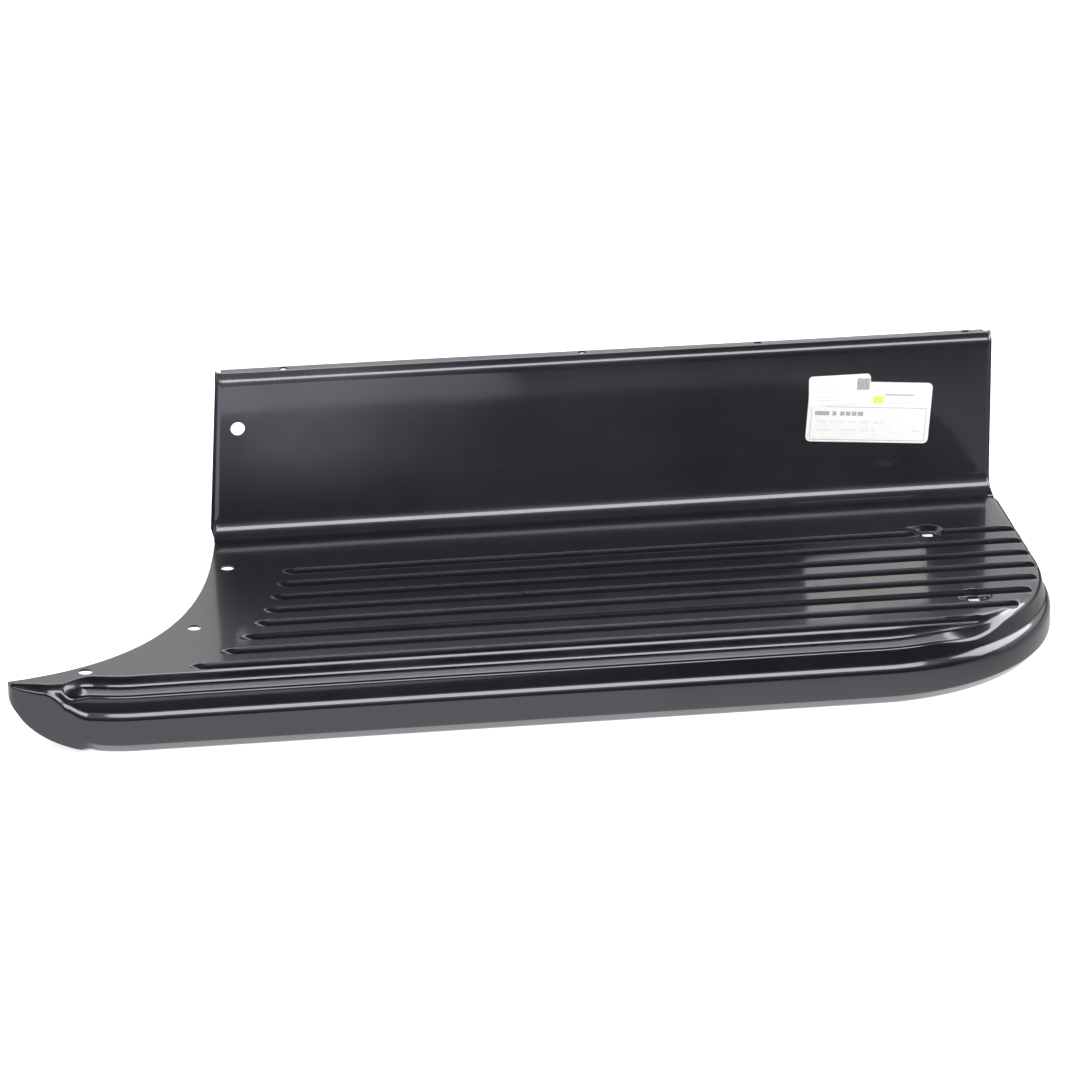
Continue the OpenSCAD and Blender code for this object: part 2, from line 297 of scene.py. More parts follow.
def in_from(st, d):
    """The place d millimetres in from a station."""
    return (st.x - d * cos(st.heading), st.y - d * sin(st.heading))


def run(sec):
    """How far a section reaches outwards from the flat."""
    return max(p[0] for p in sec)


STATIONS = all_stations()
FIRST_NOSE = next(i for i, s in enumerate(STATIONS) if s.x == NOSE_START)
SECTIONS = [section(*s[3:]) for s in STATIONS]
TIP_FLAT = in_from(STATIONS[-1], run(SECTIONS[-1]) + 0.8)


def cut(t):
    """The fender cut, from the foot of the panel at t 0 to the tip of the nose at t 1."""
    a, b, c, d = (1 - t) ** 3, 3 * t * (1 - t) ** 2, 3 * t * t * (1 - t), t ** 3
    return (b * -S.cut_bow + c * S.cut_low[0] + d * TIP_FLAT[0],
            a * BACK + b * S.cut_turn + c * S.cut_low[1] + d * TIP_FLAT[1])


def cut_where(axis, value):
    """The t at which the cut crosses a given x (axis 0) or y (axis 1), by halving."""
    lo, hi = 0.0, 1.0
    for _ in range(40):
        mid = (lo + hi) / 2
        lo, hi = (mid, hi) if cut(mid)[axis] > value else (lo, mid)
    return lo


T_NOSE = cut_where(0, NOSE_START)

# A groove is an arc of this radius, about a line this high above the tread.
GROOVE_R = (S.half ** 2 + S.depth ** 2) / (2 * S.depth)
GROOVE_Z = GROOVE_R - S.depth
# Its lips are rounded up to this height below and above the tread, and this far out.
LIP = 0.8
LIP_OUT = S.half + 0.75
# How far out a groove reaches on the sheet's underside.
UNDER = math.sqrt((GROOVE_R + S.thick) ** 2 - (GROOVE_Z + S.thick) ** 2)
FRONT_FLAT = S.front + run(section(1, 1, -S.drop, 1, 1, 1))
SIDE_FLAT = S.right - corner_run(0)
# The tread laps under the moulding's flat by this much.
LAP = 0.6


def groove_y(k):
    return FRONT_FLAT + UNDER + 1.2 + S.pitch * (S.grooves - 1 - k)


def groove_left(k):
    """Where the groove's rounded left end has its centre."""
    return S.groove_start - S.groove_step * k - S.groove_sweep * (k / (S.grooves - 1)) ** 5 + S.half


def flat_right(y):
    """Where the tread's flat, with its lap, ends at the right, on a line across at y."""
    a, v = 0.0, max(0.0, CY - y)
    for _ in range(7):
        r = S.corner + LAP - corner_run(a)
        a = math.degrees(math.asin(min(1, v / r)))
    return CX + math.sqrt(max(0.01, r * r - v * v))


def pressed(z, x, y):
    """The sheet at height z once the grooves are pressed in. They start gently at the left
    and run out over the moulding's roll at the right, with rounded lips all along."""
    for k in range(S.grooves):
        dy = y - groove_y(k)
        if abs(dy) < GROOVE_R:
            n = math.hypot(0.5 * min(0.0, x - groove_left(k)), dy)
            over = z - GROOVE_Z + math.sqrt(max(0.0, GROOVE_R ** 2 - n * n))
            z -= over if over > LIP else max(0.0, over + LIP) ** 2 / (4 * LIP)
    return z


def moulding_loop(i):
    """One closed outline of the moulding: outer skin outwards, then inner skin back."""
    st, sec = STATIONS[i], SECTIONS[i]
    reach = run(sec)
    if i < FIRST_NOSE:
        f = in_from(st, reach + LAP)
    else:
        f = cut(lerp(T_NOSE, 1, (i - FIRST_NOSE) / (len(STATIONS) - 1 - FIRST_NOSE)))
    z = pressed(fall(LAP, st.fall), *f)
    outer, inner = [(f[0], f[1], z)], [(f[0], f[1], z - S.thick)]
    for out, level, tilt in sec:
        x, y = in_from(st, reach - out)
        z = pressed(level, x, y)
        outer.append((x, y, z))
        inner.append((*in_from(st, reach - out + S.thick * sin(tilt)), z - S.thick * cos(tilt)))
    return outer + inner[::-1]


def dimple_z(n):
    """A round recess at distance n from its middle: flat bottom, slope rounded at both ends."""
    return -H.dimple_depth * ease((H.dimple_r - n) / H.dimple_slope)


def edge_distance(x, y):
    """How far a place on the tread is from the moulding's flat edge, and the fall's share there."""
    if x <= CX:
        return y - FRONT_FLAT, grown(x, M.fall_span)
    if y >= CY:
        return SIDE_FLAT - x, 1.0
    a = math.degrees(math.atan2(CY - y, x - CX))
    return S.corner - corner_run(a) - math.hypot(x - CX, y - CY), 1.0


def tread_z(x, y):
    z = pressed(fall(*edge_distance(x, y)), x, y)
    return min([z] + [dimple_z(math.hypot(x - bx, y - by)) for bx, by in H.bolts])


def tread_rows():
    """The y of each row across the tread, close together where it is pressed."""
    ys = {BACK, BACK - 0.5, -40.0, FRONT_FLAT + LAP}
    for k in range(S.grooves):
        c = groove_y(k)
        for q in range(-7, 8):
            ys.add(c + LIP_OUT * (abs(q) / 7) ** 0.85 * (1 if q > 0 else -1))
        ys.update((c + LIP_OUT + 0.35, c - LIP_OUT - 0.35))
    for _, by in H.bolts:
        ys.update(by + side * d for d in (7, 8.1, 9.2, 10.3, 11.5, 12.6, 13.6) for side in (-1, 1))
    ys = sorted((y for y in ys if FRONT_FLAT + LAP - 0.05 <= y <= BACK), reverse=True)
    out = [ys[0]]
    for y in ys[1:]:
        if out[-1] - y > 0.25:
            out.append(y)
    out[-1] = FRONT_FLAT + LAP
    return out


def spread(a, b, n):
    return [lerp(a, b, i / n) for i in range(n)]


# All grooves have begun at the first of these places, and the dimples lie beyond the second.
GROOVED_X, DIMPLED_X = 70, 470


def tread_row_x(y):
    """The x of each point along one row, from the fender cut to the moulding."""
    t = cut_where(1, y)
    if t <= T_NOSE:
        left = cut(t)[0]
    else:
        # Here the moulding's own flat reaches in from the nose.
        a, b = moulding_loop(FIRST_NOSE)[0], moulding_loop(FIRST_NOSE - 1)[0]
        left = lerp(a[0], b[0], clamp((a[1] - y) / (a[1] - b[1])))
    right = flat_right(y)
    q = clamp((597 - right) / 23)
    # The closest columns lie where the two dimples are, also in a row that ends short.
    near, far = (lerp(DIMPLED_X, right, lerp(*share, q)) for share in ((0.51, 0.61), (0.79, 0.95)))
    return (spread(left, GROOVED_X, 66) + spread(GROOVED_X, DIMPLED_X, 14) + spread(DIMPLED_X, near, 12)
            + spread(near, far, 34) + spread(far, right, 10) + [right])


# ---- mesh makers --------------------------------------------------------------------------

# The row's frame has its origin in the middle of the plan, level with the skirt's foot.
OFFSET = (-223.497, 143.5, S.drop)


def to_frame(p):
    """A place in millimetres from the panel's foot, as metres in the row's frame."""
    return tuple((a + b) * 0.001 for a, b in zip(p, OFFSET))


def mesh_object(name, verts, faces):
    """A new object from places in millimetres, with its faces turned outwards."""
    mesh = bpy.data.meshes.new(name)
    mesh.from_pydata([to_frame(v) for v in verts], [], faces)
    mesh.validate()
    bm = bmesh.new()
    bm.from_mesh(mesh)
    bmesh.ops.recalc_face_normals(bm, faces=bm.faces)
    bm.to_mesh(mesh)
    bm.free()
    ob = bpy.data.objects.new(name, mesh)
    bpy.context.scene.collection.objects.link(ob)
    return ob


def closed_grid(name, front, back):
    """A thin solid between two grids of points of the same size."""
    m, n = len(front), len(front[0])
    verts = [p for row in front for p in row] + [p for row in back for p in row]
    w = m * n
    faces = []
    for i in range(m - 1):
        for j in range(n - 1):
            a, b, c, d = i * n + j, i * n + j + 1, (i + 1) * n + j + 1, (i + 1) * n + j
            faces.append((a, b, c, d))
            faces.append((w + d, w + c, w + b, w + a))
    rim = [j for j in range(n)] + [i * n + n - 1 for i in range(1, m)]
    rim += [(m - 1) * n + j for j in range(n - 2, -1, -1)] + [i * n for i in range(m - 2, 0, -1)]
    for a, b in zip(rim, rim[1:] + rim[:1]):
        faces.append((b, a, w + a, w + b))
    return mesh_object(name, verts, faces)


def closed_sweep(name, loops):
    """A solid swept through closed outlines of the same number of points."""
    n, m = len(loops[0]), len(loops)
    verts = [p for loop in loops for p in loop]
    faces = [(i * n + j, i * n + (j + 1) % n, (i + 1) * n + (j + 1) % n, (i + 1) * n + j)
             for i in range(m - 1) for j in range(n)]
    e = (m - 1) * n
    for j in range(n // 2 - 1):
        faces.append((j, n - 1 - j, n - 2 - j, j + 1))
        faces.append((e + j, e + j + 1, e + n - 2 - j, e + n - 1 - j))
    return mesh_object(name, verts, faces)


def round_hole(centre, axis, radius, sides=40):
    return centre, axis, radius, sides, 0


def punch(ob, tools):
    """Cuts holes through a solid. A tool is (centre, axis, radius, sides, turn)."""
    verts, faces = [], []
    for centre, axis, radius, sides, turn in tools:
        base = len(verts)
        for side in (-1, 1):
            for i in range(sides):
                a = math.radians(360 * i / sides + turn)
                p = [radius * math.cos(a), radius * math.sin(a)]
                p.insert(axis, 6.0 * side)
                verts.append([centre[j] + p[j] for j in range(3)])
        faces.append(tuple(base + i for i in range(sides)))
        faces.append(tuple(base + sides + i for i in reversed(range(sides))))
        for i in range(sides):
            j = (i + 1) % sides
            faces.append((base + i, base + sides + i, base + sides + j, base + j))
    cutter = mesh_object("cutter", verts, faces)
    mod = ob.modifiers.new("holes", "BOOLEAN")
    mod.object, mod.operation, mod.solver = cutter, "DIFFERENCE", "EXACT"
    bpy.context.view_layer.update()
    new = bpy.data.meshes.new_from_object(ob.evaluated_get(bpy.context.evaluated_depsgraph_get()))
    old = ob.data
    ob.modifiers.clear()
    ob.data = new
    bpy.data.meshes.remove(old)
    bpy.data.objects.remove(cutter)


def make_moulding():
    ob = closed_sweep("moulding", [moulding_loop(i) for i in range(len(STATIONS))])
    edge = cut(cut_where(0, H.nose_x))[1]
    punch(ob, [round_hole((H.nose_x, edge - H.nose_in, 0.0), 2, H.fender_r)])
    return ob


def make_tread():
    top, low = [], []
    for y in tread_rows():
        row = [(x, y, tread_z(x, y)) for x in tread_row_x(y)]
        top.append(row)
        low.append([(x, y, z - S.thick) for x, y, z in row])
    ob = closed_grid("tread", top, low)
    tools = [round_hole((x, y, 0.0), 2, H.fender_r) for x, y in H.fender]
    tools += [((x, y, -4.0), 2, H.square / math.sqrt(2), 4, 45) for x, y in H.bolts]
    punch(ob, tools)
    return ob


def pulled(p):
    """The top left corner of the panel was pulled back a little when it was folded."""
    u, v = clamp((58 - p[0]) / 58), clamp((p[2] - 99) / 31)
    return (p[0], p[1] + 2.5 * u * u * v * v * clamp(1 - p[1] / S.flange), p[2])


def droop(x, y):
    """The flange tips down towards its back edge, more at the right than at the left."""
    return max(0.0, y - S.top * 0.5) * 0.12 * ease((x - 80) / 420)


def end_lean(z):
    """How far the left end leans in at height z."""
    return S.lean * clamp(z / FACE_TOP)


def end_radius(z):
    """The bend from the face into the end grows from the foot up."""
    return S.end * ease(z / 12)


def foot_bend(t):
    """The bend from the tread up into the face, at turn t: y and z."""
    return -S.foot + S.foot * sin(t), S.foot_top - S.foot_top * cos(t)


def top_bend(t):
    """The bend from the face back into the flange, at turn t: y and z."""
    return S.top - S.top * cos(t), FACE_TOP + S.top * sin(t)


# Heights of the points on the face between its two bends.
FACE_Z = (32, 44, 56, 72, 87, 94, 99, 103, 106, 109, 112, 115, 118)


def make_panel():
    """The upright panel: foot bend, face, top bend and flange."""
    # A row is y, z, angle of the front normal in the YZ plane, left x and right x.
    rows = []
    for t in (90 * i / 26 for i in range(27)):
        normal = math.atan2(S.foot_top * sin(t), S.foot * cos(t))
        rows.append((*foot_bend(t), 90 + math.degrees(normal), 0.0, S.length))
    rows += [(0.0, z, 180, 0.0, S.length) for z in (S.foot_top + 0.5, *FACE_Z, FACE_TOP - 1.0)]
    rows = [(y, z, a, end_lean(z) + end_radius(z), x1 - end_radius(z)) for y, z, a, x0, x1 in rows]
    left, right = S.lean + S.end, S.length - S.end
    rows += [(*top_bend(90 * i / 18), 180 - 90 * i / 18, left, right) for i in range(19)]
    rows.append((S.flange, S.height, 90, left, right))
    # The columns lie closer together in the pulled corner and at the right end.
    shares = [i / 200 for i in range(0, 15)] + [0.08 + 0.88 * i / 24 for i in range(25)] + [0.98, 0.99, 1]
    front, back = [], []
    for y, z, a, x0, x1 in rows:
        xs = [lerp(x0, x1, f) for f in shares]
        front.append([pulled((x, y, z - (droop(x, y) if z > FACE_TOP else 0))) for x in xs])
        dy, dz = S.thick * cos(a), S.thick * sin(a)
        back.append([(p[0], p[1] - dy, p[2] - dz) for p in front[-1]])
    ob = closed_grid("panel", front, back)
    x, z = H.panel
    tools = [round_hole((x, S.thick / 2, z), 1, H.panel_r)]
    tools += [round_hole((f * S.length, H.flange_y, S.height - S.thick), 2, H.flange_r, 32) for f in H.flange]
    punch(ob, tools)
    return ob


def make_returns():
    """The turned-back ends of the panel: a bend and a short leg, leaning at the left."""
    n = 14
    leg = S.end + S.end_leg
    arc = [(S.end - S.end * sin(90 * i / n), S.end - S.end * cos(90 * i / n), 90 - 90 * i / n)
           for i in range(n + 1)] + [(0.0, leg, 0)]
    levels = [foot_bend(t) for t in range(24, 85, 10)]
    levels += [(0.0, z) for z in (S.foot_top, *FACE_Z, FACE_TOP)]
    levels += [top_bend(t) for t in (*range(8, 81, 8), 86)]
    obs = []
    for at_left in (True, False):
        front, back = [], []
        for away, z in levels:
            tight = end_radius(z) / S.end
            row, inner = [], []
            for x, y, a in arc:
                y = lerp(away, leg, y / leg)
                dx, inner_y = S.thick * cos(a), min(leg, y + S.thick * sin(a))
                if at_left:
                    x = x * tight + end_lean(z)
                    row.append(pulled((x, y, z)))
                    inner.append(pulled((x + dx, inner_y, z)))
                else:
                    x = S.length - x * tight
                    low = z - droop(S.length, y) * (z > FACE_TOP)
                    row.append((x, y, low))
                    inner.append((x - dx, inner_y, low))
            front.append(row)
            back.append(inner)
        obs.append(closed_grid("end_return", front, back))
    return obs


def join(name, obs):
    """One object from several, smooth where the sheet is bent and sharp at its edges."""
    bm = bmesh.new()
    for ob in obs:
        bm.from_mesh(ob.data)
    mesh = bpy.data.meshes.new(name)
    bm.to_mesh(mesh)
    bm.free()
    for ob in obs:
        bpy.data.objects.remove(ob)
    ob = bpy.data.objects.new(name, mesh)
    bpy.context.scene.collection.objects.link(ob)
    mesh.shade_smooth()
    mesh.set_sharp_from_angle(angle=math.radians(32))
    return ob


# ---- materials ------------------------------------------------------------------------------

def new_material(name):
    mat = bpy.data.materials.new(name)
    mat.use_nodes = True
    mat.node_tree.nodes.clear()
    return mat, mat.node_tree


def add(tree, kind, settings=None, **links):
    """Adds a node, sets its properties and sockets, and links its sockets: i0 is the first input,
    Base__Color the one of that name. A link comes from an output, or a node's first output."""
    node = tree.nodes.new(kind)
    for key, value in (settings or {}).items():
        if isinstance(key, str) and hasattr(node, key):
            setattr(node, key, value)
        else:
            node.inputs[key].default_value = value
    for key, source in links.items():
        name = key.replace("__", " ")
        target = node.inputs[int(name[1:])] if name[0] == "i" and name[1:].isdigit() else node.inputs[name]
        tree.links.new(source.outputs[0] if isinstance(source, bpy.types.Node) else source, target)
    return node


def ramp(tree, source, stops):
    """A colour ramp with the given (place, colour) stops."""
    node = add(tree, "ShaderNodeValToRGB", Fac=source)
    while len(node.color_ramp.elements) < len(stops):
        node.color_ramp.elements.new(0.5)
    for element, (place, colour) in zip(node.color_ramp.elements, stops):
        element.position, element.color = place, colour
    return node.outputs["Color"]


# A map range that eases in and out.
SOFT = {"interpolation_type": "SMOOTHSTEP"}


def dusty_coating(tree, place, patch, finish):
    """The coating's colour, with dust where hands and shoes reach: on the tread by the moulding."""
    near = add(tree, "ShaderNodeMapRange", {"From Min": -0.105, "From Max": -0.135, **SOFT},
               Value=place.outputs["Y"])
    level = add(tree, "ShaderNodeMapRange", {"From Min": 0.047, "From Max": 0.0505, **SOFT},
                Value=place.outputs["Z"])
    zone = add(tree, "ShaderNodeMath", {"operation": "MULTIPLY"}, i0=near, i1=level)
    speck = ramp(tree, patch, [(0.45, (0, 0, 0, 1)), (0.7, (1, 1, 1, 1))])
    dust = add(tree, "ShaderNodeMath", {"operation": "MULTIPLY"}, i0=zone, i1=speck)
    dusty = add(tree, "ShaderNodeMath", {"operation": "MULTIPLY", 1: finish.dust}, i0=dust)
    return add(tree, "ShaderNodeMix", {"data_type": "RGBA", 6: finish.coating, 7: finish.dust_colour},
               i0=dusty)


def painted_sheen(tree, at, place, finish):
    """Painted sheen: a pale colour painted over the upright panel in place of the light it reflects, strongest
    high up at its left end as a painted glare.
    It is cloudy, with clouds of about 110 mm."""
    cloud = add(tree, "ShaderNodeTexNoise", {"Scale": 9.0, "Detail": 3.0, "Roughness": 0.55}, Vector=at)
    upright = add(tree, "ShaderNodeMapRange", {"From Min": 0.125, "From Max": 0.14, **SOFT},
                  Value=place.outputs["Y"])
    leftward = add(tree, "ShaderNodeMapRange", {"From Min": 0.02, "From Max": -0.19, **SOFT},
                   Value=place.outputs["X"])
    upward = add(tree, "ShaderNodeMapRange",
                 {"From Min": 0.065, "From Max": 0.125, "To Max": finish.sheen, **SOFT}, Value=place.outputs["Z"])
    # Strength of the painted sheen: a little over the whole panel, most high up at its left end.
    thick = add(tree, "ShaderNodeMath", {"operation": "MULTIPLY_ADD", 2: 0.045}, i0=leftward, i1=upward)
    cloudy = add(tree, "ShaderNodeMapRange", {"From Min": 0.35, "From Max": 0.65, "To Min": 0.7, "To Max": 1.3},
                 Value=cloud)
    sheen = add(tree, "ShaderNodeMath", {"operation": "MULTIPLY"}, i0=thick, i1=cloudy)
    return add(tree, "ShaderNodeMath", {"operation": "MULTIPLY"}, i0=sheen, i1=upright)


def coated_steel(finish):
    """Pressed mild steel, dip-coated black by electrocoating.

    The dip leaves an even, thin film: semi-gloss, a faint orange peel of about 3 mm, and the
    slow waviness of the pressing under it. Handling leaves pale dust and fine rubs. The upright
    panel also gets a painted sheen, paler at its top left, that stands in for its reflected light.
    """
    mat, tree = new_material("electrocoated_steel")
    at = add(tree, "ShaderNodeTexCoord").outputs["Object"]
    # Slow waviness of the pressed sheet: about 90 mm from crest to crest.
    wave = add(tree, "ShaderNodeTexNoise", {"Scale": 11.0, "Detail": 1.0}, Vector=at)
    # Orange peel of the film, drawn at 3 mm.
    peel = add(tree, "ShaderNodeTexNoise", {"Scale": 330.0, "Detail": 2.0}, Vector=at)
    # Patches where the film dried more or less glossy, about 40 mm wide.
    patch = add(tree, "ShaderNodeTexNoise", {"Scale": 25.0, "Detail": 5.0, "Roughness": 0.6}, Vector=at)
    # Rubs from handling, about 2.4 mm wide and drawn out along the step.
    drawn = add(tree, "ShaderNodeMapping", {"Scale": (0.16, 1.0, 1.0)}, Vector=at)
    rub = add(tree, "ShaderNodeTexNoise", {"Scale": 420.0, "Detail": 3.0, "Roughness": 0.7}, Vector=drawn)
    rub_mask = ramp(tree, rub, [(0.6, (0, 0, 0, 1)), (0.78, (1, 1, 1, 1))])
    place = add(tree, "ShaderNodeSeparateXYZ", Vector=at)
    coat = dusty_coating(tree, place, patch, finish)
    # Painted sheen: the upright panel's colour is mixed towards a pale tint, most at its top left, as a painted
    # glare.
    sheen = painted_sheen(tree, at, place, finish)
    coat = add(tree, "ShaderNodeMix", {"data_type": "RGBA", 7: finish.sheen_colour},
               i0=sheen, i6=coat.outputs[2])
    # Two layers of gloss: a thin clear skin that mirrors sharply, over a hazy pigmented film.
    rough = add(tree, "ShaderNodeMapRange", {"From Min": 0.3, "From Max": 0.7, "To Min": 0.27, "To Max": 0.36},
                Value=patch)
    rougher = add(tree, "ShaderNodeMath", {"operation": "MULTIPLY_ADD", 1: 0.10}, i0=rub_mask, i2=rough)
    bump = add(tree, "ShaderNodeBump", {"Strength": 0.55, "Distance": 0.0006}, Height=wave)
    fine = add(tree, "ShaderNodeBump", {"Strength": 0.05, "Distance": 0.0001}, Height=peel, Normal=bump)
    shader = add(tree, "ShaderNodeBsdfPrincipled",
                 {"IOR": 1.5, "Specular IOR Level": 0.36, "Specular Tint": linear("#e2e6ff"),
                  "Coat Weight": 1.0, "Coat Roughness": 0.09, "Coat IOR": 1.54},
                 Base__Color=coat.outputs[2], Roughness=rougher,
                 Normal=fine, Coat__Normal=fine)
    add(tree, "ShaderNodeOutputMaterial", Surface=shader)
    return mat


def sticker_paper(name, colour):
    """Coated label paper, calendered smooth: bright white with a faint fibre cloud of 2 mm."""
    mat, tree = new_material(name)
    at = add(tree, "ShaderNodeTexCoord").outputs["Object"]
    cloud = add(tree, "ShaderNodeTexNoise", {"Scale": 500.0, "Detail": 4.0}, Vector=at)
    shade = [c * 0.93 for c in colour[:3]] + [1.0]
    tone = ramp(tree, cloud, [(0.3, shade), (0.6, tuple(colour))])
    bump = add(tree, "ShaderNodeBump", {"Strength": 0.08, "Distance": 0.00005}, Height=cloud)
    shader = add(tree, "ShaderNodeBsdfPrincipled", {"Roughness": 0.5, "IOR": 1.45}, Base__Color=tone,
                 Normal=bump)
    add(tree, "ShaderNodeOutputMaterial", Surface=shader)
    return mat


def print_ink(name, colour, fade):
    """Thermal and flexo print on paper: matt, with a slight break-up of 0.6 mm."""
    mat, tree = new_material(name)
    at = add(tree, "ShaderNodeTexCoord").outputs["Object"]
    grain = add(tree, "ShaderNodeTexNoise", {"Scale": 1600.0, "Detail": 2.0}, Vector=at)
    tone = ramp(tree, grain, [(0.35, tuple(colour)), (0.75, tuple(fade))])
    shader = add(tree, "ShaderNodeBsdfPrincipled", {"Roughness": 0.65, "IOR": 1.45}, Base__Color=tone)
    add(tree, "ShaderNodeOutputMaterial", Surface=shader)
    return mat


# ---- settings -------------------------------------------------------------------------------

class StepFinish(bpy.types.PropertyGroup):
    coating: bpy.props.FloatVectorProperty(
        name="Coating", description="Colour of the black dip coating", subtype="COLOR", size=4,
        min=0, max=1, default=linear("#101014"))
    dust_colour: bpy.props.FloatVectorProperty(
        name="Dust", description="Colour of the dust on the tread", subtype="COLOR", size=4,
        min=0, max=1, default=linear("#6d625c"))
    dust: bpy.props.FloatProperty(
        name="Dust amount", description="How much dust lies on the tread", subtype="FACTOR",
        min=0, max=1, default=0.10)
    # Painted sheen: the pale colour and amount painted on the upright panel in place of its glare.
    sheen_colour: bpy.props.FloatVectorProperty(
        name="Sheen", description="Colour of the pale film on the upright panel", subtype="COLOR", size=4,
        min=0, max=1, default=linear("#84868f"))
    sheen: bpy.props.FloatProperty(
        name="Film amount", description="How thick the film is at the panel's left end", subtype="FACTOR",
        min=0, max=1, default=0.17)
    paper: bpy.props.FloatVectorProperty(
        name="Large sticker", description="Paper of the large sticker", subtype="COLOR", size=4,
        min=0, max=1, default=linear("#f4f4f2"))
    paper_small: bpy.props.FloatVectorProperty(
        name="Small sticker", description="Paper of the small sticker", subtype="COLOR", size=4,
        min=0, max=1, default=linear("#fafaf8"))
    ink: bpy.props.FloatVectorProperty(
        name="Ink", description="Dark print on the stickers", subtype="COLOR", size=4,
        min=0, max=1, default=linear("#808082"))
    pale_ink: bpy.props.FloatVectorProperty(
        name="Pale ink", description="Faint print on the stickers", subtype="COLOR", size=4,
        min=0, max=1, default=linear("#dededc"))
    chip: bpy.props.FloatVectorProperty(
        name="Colour chip", description="Yellow-green patch on the large sticker", subtype="COLOR",
        size=4, min=0, max=1, default=linear("#d9ec4e"))


class StepStudio(bpy.types.PropertyGroup):
    softbox: bpy.props.FloatProperty(
        name="Softbox", description="Power of the large lamp in front", unit="POWER",
        min=0, default=112.0)
    side_box: bpy.props.FloatProperty(
        name="Side box", description="Power of the smaller lamp at the left", unit="POWER",
        min=0, default=30.0)
    right_box: bpy.props.FloatProperty(
        name="Right box", description="Power of the lamp at the right", unit="POWER",
        min=0, default=70.0)
    fill: bpy.props.FloatProperty(
        name="Fill", description="Strength of the even light from all round", min=0, default=0.40)


# ---- operators ------------------------------------------------------------------------------

class BEDSTEP_OT_sheet(bpy.types.Operator):
    """Builds the pressed sheet with its tread, moulding, upright panel and turned ends"""
    bl_idname = "bedstep.sheet"
    bl_label = "Pressed sheet"

    def execute(self, context):
        parts = [make_moulding(), make_tread(), make_panel()] + make_returns()
        ob = join("pressed_sheet", parts)
        ob.data.materials.append(coated_steel(context.scene.bedstep_finish))
        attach(ob, "root")
        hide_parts("step")
        return {"FINISHED"}


# Middle of the large sticker on the panel, and its tilt in degrees. The print lies this far in
# front of the panel's face on the large and on the small sticker.
STICKER_X, STICKER_Z, STICKER_TILT = 517, 71, 4.5
LIFT, LIFT_SMALL = 0.33, 0.63
GREY, PALE, CHIP = 0, 1, 2


class BEDSTEP_OT_stickers(bpy.types.Operator):
    """Gives both stickers their paper and adds plain bars and fields for the print"""
    bl_idname = "bedstep.stickers"
    bl_label = "Paper stickers"

    def execute(self, context):
        finish = context.scene.bedstep_finish
        for node, name, colour in (("label_large", "label_paper", finish.paper),
                                   ("label_small", "label_paper_small", finish.paper_small)):
            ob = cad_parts[node]
            mat = sticker_paper(name, colour)
            if not ob.material_slots:
                ob.data.materials.append(mat)
            for s in ob.material_slots:
                s.link = "OBJECT"
                s.material = mat
        inks = [print_ink("ink_grey", finish.ink, finish.pale_ink),
                print_ink("ink_pale", finish.pale_ink, finish.paper),
                print_ink("ink_chip", finish.chip, linear("#e6f08c"))]
        verts, faces, kinds = [], [], []

        def bar(u0, u1, v0, v1, kind, lift=LIFT):
            """A flat bar of ink, from its limits in the large sticker's own axes."""
            base = len(verts)
            for u, v in ((u0, v0), (u1, v0), (u1, v1), (u0, v1)):
                x = STICKER_X + u * cos(STICKER_TILT) + v * sin(STICKER_TILT)
                z = STICKER_Z - u * sin(STICKER_TILT) + v * cos(STICKER_TILT)
                verts.append((x, -lift, z))
            faces.append(tuple(range(base, base + 4)))
            kinds.append(kind)

        # Thin frame round the lower field, with its worn gaps.
        for u0, u1, v0, v1 in ((-34, 45.8, 3.7, 4.1), (-46, 45.8, -23.4, -23.0),
                               (-46, -45.6, -23.4, 1.5), (45.4, 45.8, -23.4, 4.1)):
            bar(u0, u1, v0, v1, GREY)
        # A heading bar in pieces, and two fainter rows below it.
        for u0, u1 in ((-43, -31.5), (-29, -26), (-23, -19.5), (-18.5, -14.8), (-13.8, -10), (-9, -4.6)):
            bar(u0, u1, -3.2, 0.2, GREY)
        for u0, u1 in ((-41.5, -34), (-31, -27), (-25, -19), (-16, -10), (-6.5, 2), (4, 8), (9.5, 12.5)):
            bar(u0, u1, -9.3, -7.4, PALE)
        for u0, u1 in ((-40, -29), (-21, -9), (-6, 1), (3, 6), (36, 42)):
            bar(u0, u1, -16.0, -14.4, PALE)
        # Fine lines and a colour chip in the upper field.
        for v, u0, u1, kind in ((14.2, 11.5, 35, GREY), (11.4, 13, 42, PALE), (9.0, 12, 42, PALE),
                                (7.0, 12, 40, PALE)):
            bar(u0, u1, v, v + 0.9, kind)
        bar(2.4, 10.8, 7.5, 13.2, CHIP)
        # Upright bars and a plain field on the small sticker.
        for i, width in enumerate((0.5, 0.9, 0.5, 1.1, 0.6, 0.5, 0.9, 0.5, 0.7)):
            u = -43 + i * 2.1
            bar(u, u + width, 15.0, 25.5, PALE, LIFT_SMALL)
        bar(-11.6, -1.6, 18.4, 28.0, GREY, LIFT_SMALL)
        bar(-43, -28, 11.0, 12.2, PALE, LIFT_SMALL)
        bar(-43, -24, 8.6, 9.6, PALE, LIFT_SMALL)
        ob = mesh_object("sticker_print", verts, faces)
        for mat in inks:
            ob.data.materials.append(mat)
        for face, kind in zip(ob.data.polygons, kinds):
            face.material_index = kind
        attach(ob, "root")
        return {"FINISHED"}


# Lamps in the row's frame, in metres: place, aim, width and height.
LAMPS = {
    "softbox": ((0.65, -2.45, 2.75), (0.65, 0.0, 0.05), 3.6, 1.25),
    "right_box": ((2.5, 0.05, 1.25), (0.3, 0.0, 0.05), 2.2, 1.5),
    "side_box": ((-2.4, -2.0, 2.6), (-0.3, -0.1, 0.05), 1.6, 1.1),
}
